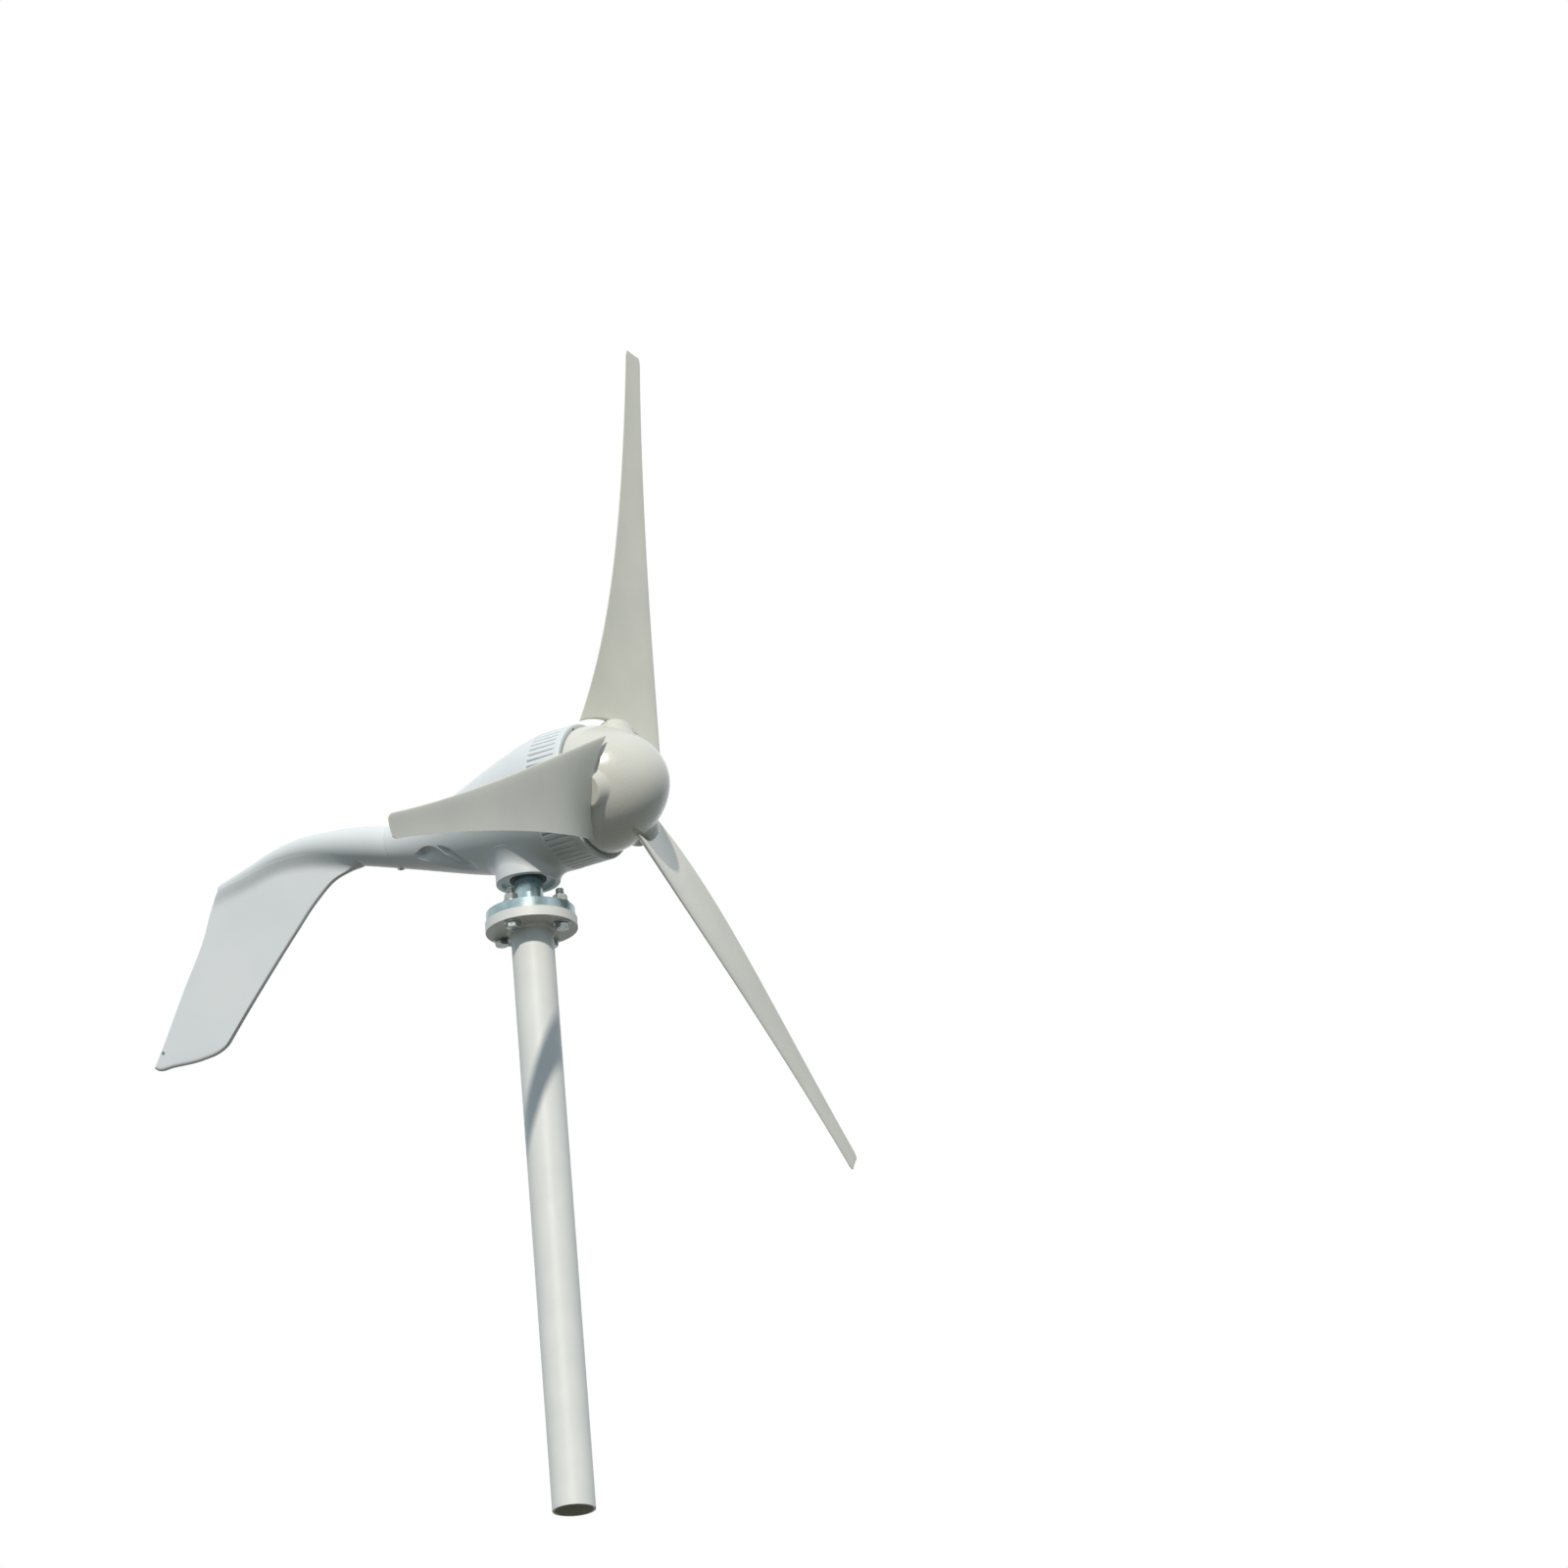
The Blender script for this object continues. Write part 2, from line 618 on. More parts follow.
# ---- nacelle ---------------------------------------------------------------------------------------
@dataclass
class Gill:
    """One air scoop: the course of its upper lip, and how wide and deep the ramp below it is."""

    forward: list[float]             # positions along the rotor axis, rising
    lip: list[float]                 # degrees from straight down, negative on the -X side
    width: list[float]               # degrees from the lip to the ramp's end
    depth: float
    lip_edge: tuple[float, float] = (-0.8, 1.8)      # degrees past the lip between which it drops
    floor_share: float = 0.25        # share of the width that stays at full depth
    front_fade: float = 24.0         # length of the fading tips
    rear_fade: float = 14.0

    def sunk(self, forward: np.ndarray, angle: np.ndarray) -> np.ndarray:
        """Depth of the scoop on the body.

        It drops steeply below the lip, stays for a quarter of the width and rises gently to nothing at
        the ramp's end, and both tips fade out.

        Args:
            forward: distance in front of the yaw axis.
            angle: degrees from straight down.
        Returns:
            Millimetres inward.
        """
        lip = through(forward, self.forward, self.lip)
        width = through(forward, self.forward, self.width)
        below = (angle - lip) / np.maximum(width, 1.0)
        rear, front = self.forward[0], self.forward[-1]
        ends = smooth_step(forward, rear, rear + self.rear_fade)
        ends = ends * (1 - smooth_step(forward, front - self.front_fade, front))
        ramp = (1 - smooth_step(below, self.floor_share, 1.0)) * smooth_step(angle - lip, *self.lip_edge)
        return ends * self.depth * ramp


@dataclass
class Nacelle:
    """Cast body with its neck, and the finned generator barrel. Sizes in millimetres.

    The body's rings have their places along the rotor axis in forward, their radii in radius and the
    heights of their centres above the rotor axis in height.
    """

    forward: list[float] = field(default_factory=lambda: [
        -215.0, -180.0, -130.0, -75.0, -32.0, 6.0, 44.0, 67.0])
    radius: list[float] = field(default_factory=lambda: [31.0, 36.5, 48.5, 65.0, 78.0, 88.0, 96.5, 99.0])
    height: list[float] = field(default_factory=lambda: [4.0, -2.0, -7.0, -8.0, -6.0, -4.0, -2.0, 0.0])
    rings: int = 200
    inner_rings: int = 24
    ring_points: int = 360
    front_edge: tuple[tuple[float, float], ...] = ((0.0, 1.2), (0.4, 0.35))  # back, and inward
    rear_edge: float = 0.3
    edge_length: tuple[float, float] = (1.4, 0.4)    # of the rounding at the front and at the rear
    wall: float = 10.0
    rear_bore: float = 24.3
    neck_radius: float = 45.5
    neck_start: float = 57.0
    neck_blend: float = 14.0
    neck_points: int = 240
    flare_rows: int = 22
    rim_rows: int = 9
    back_share: tuple[float, ...] = (1.0, 0.6, 0.0)  # the flare's return to the seal's seat
    back_rise: tuple[float, ...] = (3.0, 4.0, 4.0)   # and its height inside the wall
    rim_round: float = 1.5
    recess_radius: float = 38.0
    recess_depth: float = 6.0
    recess_round: float = 1.0
    seal_radius: float = 26.1
    seal_seat: float = 12.0          # height of the seal's seat above the recess
    bore_gap: float = 4.0            # the opened wall stands off the seal's seat
    bore_low: float = 5.0            # the opening starts below the neck
    bore_top: float = 40.0           # and ends below the rotor axis
    barrel_radius: float = 98.5
    barrel_bore: float = 86.0
    barrel_front: float = 113.0
    fin_count: int = 60
    fin_points: int = 14
    slot_width: float = 2.5
    slot_depth: float = 3.6          # at the rear; shallower towards the front
    slot_lean: float = 0.3           # width of a slot's leaning side as a share of the slot's
    slot_fade: float = 0.6           # share of the depth that is lost from rear to front
    slot_rows: tuple[float, ...] = (0.0, 0.3, 7.0, 15.0, 23.0, 31.0, 37.0)   # forward from the rear
    band_rows: tuple[float, ...] = (4.0, 3.0, 2.2)   # back from the front, where the slots run out
    front_round: float = 1.0
    gills: list[Gill] = field(default_factory=lambda: [
        Gill([-166.0, -145.0, -126.0, -96.0, -66.0], [-49.0, -62.0, -60.0, -32.0, -20.0],
             [8.0, 32.0, 40.0, 20.0, 9.0], 10.0),
        Gill([-120.0, -98.0, -83.0, -64.0], [-62.0, -52.0, -36.0, -25.0], [7.0, 17.0, 15.0, 8.0], 8.5)])

    def skin(self) -> Surface:
        """The body's shell.

        Ring by ring along the rotor axis, a circle whose radius and centre height follow smooth curves,
        pushed in where a gill is; the inside is the same circle without gills, one wall smaller.

        Returns:
            The shell, with two rings that round its front edge and one that rounds its rear edge.
        """
        first, last = self.forward[-1], self.forward[0]
        back, inward = np.array(self.front_edge).T
        between = np.linspace(first - self.edge_length[0], last + self.edge_length[1], self.rings)
        outside = np.concatenate([first - back, between, [last]])
        edge = np.concatenate([inward, np.zeros(self.rings), [self.rear_edge]])
        angle = np.degrees(turns(self.ring_points)) - 180.0
        z, a = outside[:, None], angle[None, :]
        sunk = edge[:, None] + sum(gill.sunk(z, a) for gill in self.gills)
        radius = through(z, self.forward, self.radius) - sunk
        rise = through(z, self.forward, self.height) + 0 * a
        inside = np.linspace(last, first, self.inner_rings)[:, None]
        inner = np.maximum(through(inside, self.forward, self.radius) - self.wall, self.rear_bore) + 0 * a
        z = np.concatenate([z + 0 * a, inside + 0 * a])
        radius = np.concatenate([radius, inner])
        rise = np.concatenate([rise, through(inside, self.forward, self.height) + 0 * a])
        turned = np.radians(a)
        x, up = radius * np.sin(turned), rise - radius * np.cos(turned)
        return Surface(from_rotor(x, up, z), wrap_rows=True)

    def belly(self, x: np.ndarray, y: np.ndarray) -> np.ndarray:
        """Height of the body's underside, the lower half of its circle.

        Args:
            x: place across, in the row frame.
            y: place along, in the row frame.
        Returns:
            Height in the row frame.
        """
        radius = through(-y, self.forward, self.radius)
        rise = through(-y, self.forward, self.height)
        return AXIS_HEIGHT + rise - np.sqrt(np.maximum(radius**2 - x**2, 1.0))

    def neck(self) -> Surface:
        """Neck that flares into the belly.

        Round the yaw axis a profile runs from the seal's seat over the rounded rim and up the wall. The
        flare is a quarter circle whose heights are measured down from the belly over each point, so that
        it leaves the wall upright and meets the belly at the belly's own slope. It ends inside the wall.

        Returns:
            The neck, closed from its flare back to the seal's seat.
        """
        low = YAW_FACE + self.neck_start
        top = low + self.recess_depth
        bend = np.linspace(0, pi / 2, self.rim_rows)[:, None]
        outward, upward = 1 - np.sin(bend), 1 - np.cos(bend)
        seat = np.array([(self.seal_radius, top + self.seal_seat), (self.seal_radius, top),
                         (self.recess_radius, top)])
        rim_in = np.hstack([self.recess_radius + self.recess_round * outward,
                            low + self.recess_round * upward])
        rim_out = np.hstack([self.neck_radius - self.rim_round * outward, low + self.rim_round * upward])
        angle = turns(self.neck_points)[None, :]
        lower = revolved(np.concatenate([seat, rim_in[::-1], rim_out]), angle.size)
        climb = np.linspace(0, pi / 2, self.flare_rows)[:, None]
        reach = self.neck_radius + self.neck_blend * (1 - np.cos(climb)) + 0 * angle
        x, y = reach * np.cos(angle), reach * np.sin(angle)
        flare = np.stack([x, y, self.belly(x, y) - self.neck_blend * (1 - np.sin(climb))], axis=-1)
        width = self.neck_radius + self.neck_blend - self.seal_radius
        reach = self.seal_radius + width * np.array(self.back_share)[:, None] + 0 * angle
        x, y = reach * np.cos(angle), reach * np.sin(angle)
        back = np.stack([x, y, self.belly(x, y) + np.array(self.back_rise)[:, None]], axis=-1)
        return Surface(np.concatenate([lower, flare, back]), wrap_rows=True)

    def barrel(self) -> Surface:
        """Finned barrel.

        A cylinder whose radius drops by the slot's depth within half a slot's width of each of the evenly
        spaced slots, with leaning sides. The slots grow shallow forward, and the front band stays plain.

        Returns:
            The barrel with its bore.
        """
        rear, front = self.forward[-1], self.barrel_front
        fade_start, fade_end = front - self.band_rows[0], front - self.band_rows[-1]
        rows = np.concatenate([rear + np.array(self.slot_rows), front - np.array(self.band_rows),
                               [front - self.front_round, front]])
        edge = np.zeros(rows.size)
        edge[-1] = self.front_round
        z = rows[:, None]
        angle = turns(self.fin_count * self.fin_points)[None, :]
        period = 2 * pi / self.fin_count
        off = np.abs((angle + period / 2) % period - period / 2) * self.barrel_radius
        lean = self.slot_lean * self.slot_width
        groove = np.clip((self.slot_width / 2 + lean / 2 - off) / lean, 0, 1)
        groove = groove * (1 - self.slot_fade * (z - rear) / (front - rear))
        groove = groove * (1 - smooth_step(z, fade_start, fade_end))
        radius = self.barrel_radius - edge[:, None] - self.slot_depth * groove
        inner = np.full((2, angle.size), self.barrel_bore)
        radius = np.concatenate([radius, inner])
        z = np.concatenate([z, [[front], [rear]]])
        return Surface(from_rotor(radius * np.sin(angle), radius * np.cos(angle), z), wrap_rows=True)

    def bore_cutter(self) -> Surface:
        """Upright cylinder that opens the body's wall above the neck.

        Returns:
            The cylinder.
        """
        low, high = YAW_FACE + self.neck_start - self.bore_low, AXIS_HEIGHT - self.bore_top
        radius = self.seal_radius + self.bore_gap
        profile = np.array([(0.0, low), (radius, low), (radius, high), (0.0, high)])
        return Surface(revolved(profile, 96))

    def build(self) -> None:
        """Makes the body, the neck and the barrel."""
        body = raw_mesh("nacelle_shell", [self.skin()])
        cut(body, [self.bore_cutter()])
        finish_piece(body, BODY_COAT, "nacelle", ["nacelle_body"], crease=50)
        finish_piece(raw_mesh("yaw_neck", [self.neck()]), BODY_COAT, "nacelle", ["nacelle_body"], crease=50)
        barrel = raw_mesh("finned_barrel", [self.barrel()])
        finish_piece(barrel, BODY_COAT, "nacelle", ["stator_housing"], crease=35)


# ---- rotor -----------------------------------------------------------------------------------------
@dataclass
class Spinner:
    """Nose over the hub, with a low boss and a slot for each blade. Sizes in millimetres."""

    radius: float = 91.5
    start: float = 122.0
    length: float = 110.0
    fullness: float = 0.5            # handle length of the profile's curve
    wall: float = 2.5
    seat: float = 155.0              # forward distance of the blade roots, where the two shells meet
    boss_reach: float = 93.0
    boss_radius: float = 23.5
    boss_edge: float = 3.5           # rounding above and below the boss's rim
    boss_foot: float = 5.0
    phase: float = 8.0               # degrees, first blade from straight up, clockwise from the front
    blade_count: int = 3
    ring_points: int = 480
    rings: tuple[int, int] = (44, 90)                # of the rear shell and of the nose shell
    curve_points: int = 400          # points of the profile between which a place is looked up
    least_cosine: float = 0.5        # keeps the boss's flat finite away from the blade

    def profile(self, share: np.ndarray) -> tuple[np.ndarray, np.ndarray]:
        """Radius and forward distance along the cubic curve from the rear rim to the tip.

        Args:
            share: 0 at the rim and 1 at the tip.
        Returns:
            Radius and forward distance.
        """
        t, u, b = share, 1 - share, self.fullness
        radius = self.radius * (u**3 + 3 * u * u * t + 3 * b * u * t * t)
        forward = self.start + self.length * (3 * b * u * u * t + 3 * u * t * t + t**3)
        return radius, forward

    def radius_at(self, forward: np.ndarray) -> np.ndarray:
        """Radius of the plain nose at a forward distance."""
        radius, place = self.profile(np.linspace(0, 1, self.curve_points))
        return np.interp(forward, place, radius)

    def bulge(self, radius: np.ndarray, forward: np.ndarray, angle: np.ndarray) -> np.ndarray:
        """Radius with the bosses.

        Near each blade's axis the surface is lifted to a flat across the blade, boss_reach / cos(angle
        off the blade), and eases back to the plain nose over the boss's rounded rim.

        Args:
            radius: radius of the plain nose.
            forward: distance in front of the yaw axis.
            angle: place round the rotor axis, clockwise from straight up.
        Returns:
            The lifted radius.
        """
        lifted = radius + 0 * angle
        for index in range(self.blade_count):
            middle = radians(self.phase + 360 * index / self.blade_count)
            off = (angle - middle + pi) % (2 * pi) - pi
            across = radius * np.sin(off)
            distance = np.hypot(across, forward - self.seat)
            weight = 1 - smooth_step(distance, self.boss_radius - self.boss_edge,
                                     self.boss_radius + self.boss_foot)
            flat = self.boss_reach / np.maximum(np.cos(off), self.least_cosine)
            weight = weight * (np.cos(off) > 0)
            lifted = lifted + np.maximum(flat - radius, 0) * weight
        return lifted

    def shell(self, low: float, high: float, rows: int) -> Surface:
        """Part of the nose between two shares of the profile, as a closed wall.

        Args:
            low: share where it starts.
            high: share where it ends, 1 for the tip.
            rows: rings on the outside.
        Returns:
            The outside, then the inside one wall smaller, joined at the rims.
        """
        angle = turns(self.ring_points)[None, :]
        outer_share = np.linspace(low, high, rows)[:, None]
        radius, forward = self.profile(outer_share)
        outside = self.bulge(radius, forward, angle) * (radius > POLE)
        inner_share = np.linspace(high, low, rows // 2)[:, None]
        inner_radius, inner_forward = self.profile(inner_share)
        inside = self.bulge(inner_radius, inner_forward, angle) * (inner_radius > POLE)
        inside = inside * (1 - self.wall / self.radius)
        back = inner_forward - self.wall * smooth_step(inner_forward, self.seat, self.start + self.length)
        radius = np.concatenate([outside, inside])
        forward = np.concatenate([forward, back])
        return Surface(from_rotor(radius * np.sin(angle), radius * np.cos(angle), forward), wrap_rows=True)


# Half thickness of a symmetrical aerofoil over the chord: powers of the share behind the leading edge,
# each with its factor.
AEROFOIL = [(0.5, 0.2969), (1, -0.126), (2, -0.3516), (3, 0.2843), (4, -0.1036)]


@dataclass
class Blade:
    """A twisted, tapered blade with a flat root. Sizes in millimetres, angles in degrees."""

    tip: float = 700.0
    root: float = 70.0               # station where the taper and twist are counted from
    first: float = 50.0              # innermost station of the blade's skin
    plane: float = 180.0
    tip_chord: float = 35.0
    chord_growth: float = 110.0
    chord_power: float = 1.65
    tip_twist: float = 3.3
    twist_growth: float = 17.1
    twist_power: float = 3.6
    leading_share: float = 0.49
    leading_lift: float = 3.0
    root_lift: float = 2.8
    thickness: float = 0.075
    camber: float = 0.03
    trailing: float = 1.2
    stations: int = 110
    half_points: int = 30            # on each side of the section
    end_rows: int = 6
    station_crowding: float = 1.25   # above 1 the stations lie closer near the root
    round_end: float = 2.2           # length over which either end is rounded
    corner: float = 5.0              # how far the tip's corners are drawn in
    corner_length: float = 7.0
    corner_power: int = 6            # how close to the edges the corners keep
    root_gap: float = 9.0
    horn_gap: float = 13.0
    root_guess: float = 90.0         # first guess of the root edge's station
    root_rounds: int = 12            # rounds in which the guess settles
    tang_start: float = 27.0
    tang_rows: int = 46
    tang_points: int = 64
    tang_width: float = 38.0
    tang_thickness: float = 12.0
    tang_fade: tuple[float, float] = (100.0, 165.0)
    tang_lead: float = 8.0           # the tang bends to the blade this far before the fade
    tang_narrowing: float = 0.35
    tang_thinning: float = 0.93
    tang_power: float = 5.0          # squareness of the tang's section
    tang_softening: float = 2.5      # what the fade takes off the squareness
    slot_clearance: float = 1.0
    slot_reach: tuple[float, float] = (40.0, 110.0)

    def share(self, station: np.ndarray) -> np.ndarray:
        """Share of the span from the root to the tip."""
        return np.clip((station - self.root) / (self.tip - self.root), -0.1, 1.0)

    def twist(self, station: np.ndarray) -> np.ndarray:
        """Angle of the chord from the rotor plane, in radians."""
        return np.radians(self.tip_twist + self.twist_growth * (1 - self.share(station)) ** self.twist_power)

    def chord(self, station: np.ndarray) -> np.ndarray:
        """Width of the blade."""
        return self.tip_chord + self.chord_growth * (1 - self.share(station)) ** self.chord_power

    def bow(self, station: np.ndarray, along: np.ndarray) -> np.ndarray:
        """Camber, a parabola over the chord."""
        return self.camber * self.chord(station) * 4 * along * (1 - along)

    def point(self, station: np.ndarray, along: np.ndarray,
              offset: np.ndarray) -> tuple[np.ndarray, np.ndarray]:
        """Travel and forward distance of a point of a section.

        Args:
            station: distance from the rotor axis.
            along: share of the chord behind the leading edge.
            offset: millimetres from the chord towards the rear.
        Returns:
            Distance ahead of the radial line in the blade's travel, and forward distance.
        """
        slope, length = self.twist(station), self.chord(station)
        back = along * length
        lift = self.leading_lift + self.root_lift * (1 - self.share(station)) ** 4
        travel = (self.leading_share * length - back) * np.cos(slope) + offset * np.sin(slope)
        forward = self.plane + lift - back * np.sin(slope) - offset * np.cos(slope)
        return travel, forward

    def root_edge(self, along: np.ndarray, spinner: Spinner) -> np.ndarray:
        """Station where the skin begins, for each share of the chord.

        The edge follows the nose grown by the horn gap across, the root gap outward and forward. Its
        station depends on the section's own place, so it is worked out in a few rounds.

        Args:
            along: shares of the chord behind the leading edge.
            spinner: the nose.
        Returns:
            A station for each share.
        """
        station = np.full_like(along, self.root_guess)
        across = 1 + self.horn_gap / spinner.radius
        outward = 1 + self.root_gap / spinner.radius
        ahead = 1 + self.root_gap / spinner.length
        for _ in range(self.root_rounds):
            travel, forward = self.point(station, along, 0 * along)
            radius = spinner.radius_at(spinner.start + (forward - spinner.start) / ahead)
            reach = outward * np.sqrt(np.maximum(radius**2 - (travel / across) ** 2, 0.0))
            station = 0.5 * station + 0.5 * np.maximum(reach, self.first)
        return station

    def skin(self, spinner: Spinner) -> Surface:
        """The blade's skin.

        Round the section, the share of the chord runs from the leading edge and back as a cosine. The
        offset is the camber's parabola plus and minus the half thickness of a symmetrical aerofoil. The
        stations run from the root edge to the tip, and over the first and last millimetres the half
        thickness falls as a quarter circle, so that both ends are rounded and close on the mean line.

        Args:
            spinner: the nose, which the root edge follows.
        Returns:
            The skin along the first blade's axis.
        """
        bend = np.linspace(0, pi, self.half_points + 1)
        loop = np.concatenate([bend, bend[::-1][1:-1]])
        side = np.concatenate([np.ones(self.half_points + 1), -np.ones(self.half_points - 1)])[None, :]
        along = ((1 - np.cos(loop)) / 2)[None, :]
        begin = self.root_edge(along, spinner)
        turn = np.linspace(0, pi / 2, self.end_rows)[:, None]
        thin, near = np.sin(turn), self.round_end * (1 - np.cos(turn))
        spread = np.linspace(0, 1, self.stations)[1:, None] ** self.station_crowding
        middle = begin + self.round_end + (self.tip - 2 * self.round_end - begin) * spread
        station = np.concatenate([begin + near, middle, self.tip - near[::-1][1:] + 0 * begin])
        thick = np.concatenate([thin, np.ones_like(spread), thin[::-1][1:]])
        series = sum(factor * along**power for power, factor in AEROFOIL)
        half = (5 * self.thickness * self.chord(station) * series + along * self.trailing / 2) * thick
        travel, forward = self.point(station, along, self.bow(station, along) + side * half)
        drawn_in = self.corner * np.clip(1 - (self.tip - station) / self.corner_length, 0, 1) ** 2
        travel = travel + drawn_in * (along**self.corner_power - (1 - along) ** self.corner_power)
        return Surface(np.stack([travel, station, forward], axis=-1))

    def pitch(self) -> float:
        """Angle of the root from the rotor plane, in radians."""
        return radians(self.tip_twist + self.twist_growth)

    def tang(self, spinner: Spinner) -> Surface:
        """Flat root.

        A rounded bar, pitched with the root, which narrows, thins and sinks into the blade's mean
        surface over the fade.

        Args:
            spinner: the nose, whose seat gives the bar's forward place.
        Returns:
            The root along the first blade's axis.
        """
        start, end = self.tang_start, self.tang_fade[1]
        stations = np.concatenate([[start], np.linspace(start, end, self.tang_rows), [end]])[:, None]
        angle = turns(self.tang_points)[None, :]
        fade = smooth_step(stations, *self.tang_fade)
        size = np.ones_like(stations)
        size[0], size[-1] = 0.0, 0.0
        x, z = rounded_bar(self.tang_width / 2 * (1 - self.tang_narrowing * fade) * size,
                           self.tang_thickness / 2 * (1 - self.tang_thinning * fade) * size,
                           self.tang_power - self.tang_softening * fade, angle)
        c, s = cos(self.pitch()), sin(self.pitch())
        share = self.leading_share - x * c / (self.chord(stations) * np.cos(self.twist(stations)))
        mean_travel, mean_forward = self.point(stations, share, self.bow(stations, share))
        blend = smooth_step(stations, self.tang_fade[0] - self.tang_lead, end)
        travel = (x * c - z * s) * (1 - blend) + (mean_travel - z * s) * blend
        forward = (spinner.seat + x * s + z * c) * (1 - blend) + (mean_forward + z * c) * blend
        return Surface(np.stack([travel, stations + 0 * angle, forward], axis=-1))

    def slot_cutter(self, spinner: Spinner) -> Surface:
        """Bar a little larger than the tang, that cuts the nose's slot.

        Args:
            spinner: the nose, whose seat gives the bar's forward place.
        Returns:
            The bar along the first blade's axis.
        """
        start, end = self.slot_reach
        stations = np.array([start, start, end, end])[:, None]
        size = np.array([0.0, 1.0, 1.0, 0.0])[:, None]
        angle = turns(self.tang_points)[None, :]
        x, z = rounded_bar((self.tang_width / 2 + self.slot_clearance) * size,
                           (self.tang_thickness / 2 + self.slot_clearance) * size, self.tang_power, angle)
        c, s = cos(self.pitch()), sin(self.pitch())
        points = np.broadcast_arrays(x * c - z * s, stations, spinner.seat + x * s + z * c)
        return Surface(np.stack(points, axis=-1))


@dataclass
class Rotor:
    """The three blades and the two shells of the nose."""

    spinner: Spinner = field(default_factory=Spinner)
    blade: Blade = field(default_factory=Blade)

    def turned(self, surface: Surface, index: int) -> Surface:
        """A blade's surface put in the row frame.

        Args:
            surface: points of travel, station and forward distance.
            index: the blade's number, counted clockwise from the front.
        Returns:
            The surface, turned about the rotor axis.
        """
        angle = radians(self.spinner.phase + 360 * index / self.spinner.blade_count)
        travel, station, forward = np.moveaxis(surface.points, -1, 0)
        x = travel * np.cos(angle) + station * np.sin(angle)
        up = station * np.cos(angle) - travel * np.sin(angle)
        return Surface(from_rotor(x, up, forward), surface.wrap_rows, surface.wrap_cols)

    def build(self) -> None:
        """Makes the nose's two shells with their slots, and the blades."""
        nose = self.spinner
        shares = np.linspace(0, 1, nose.curve_points)
        split = float(np.interp(nose.seat, nose.profile(shares)[1], shares))
        cutters = [self.turned(self.blade.slot_cutter(nose), k) for k in range(nose.blade_count)]
        rear = raw_mesh("spinner_rear_shell", [nose.shell(0.0, split, nose.rings[0])])
        cut(rear, cutters)
        finish_piece(rear, SPINNER_COAT, "rotor", ["spinner_ring"], crease=40)
        front = raw_mesh("spinner_nose_shell", [nose.shell(split, 1.0, nose.rings[1])])
        cut(front, cutters)
        finish_piece(front, SPINNER_COAT, "rotor", ["spinner_nose"], crease=40)
        for index, letter in enumerate("abc"[:nose.blade_count]):
            parts = [self.turned(self.blade.skin(nose), index), self.turned(self.blade.tang(nose), index)]
            piece = raw_mesh(f"blade_{letter}_skin", parts)
            finish_piece(piece, BLADE_COAT, "rotor", [f"blade_{letter}"], crease=50)


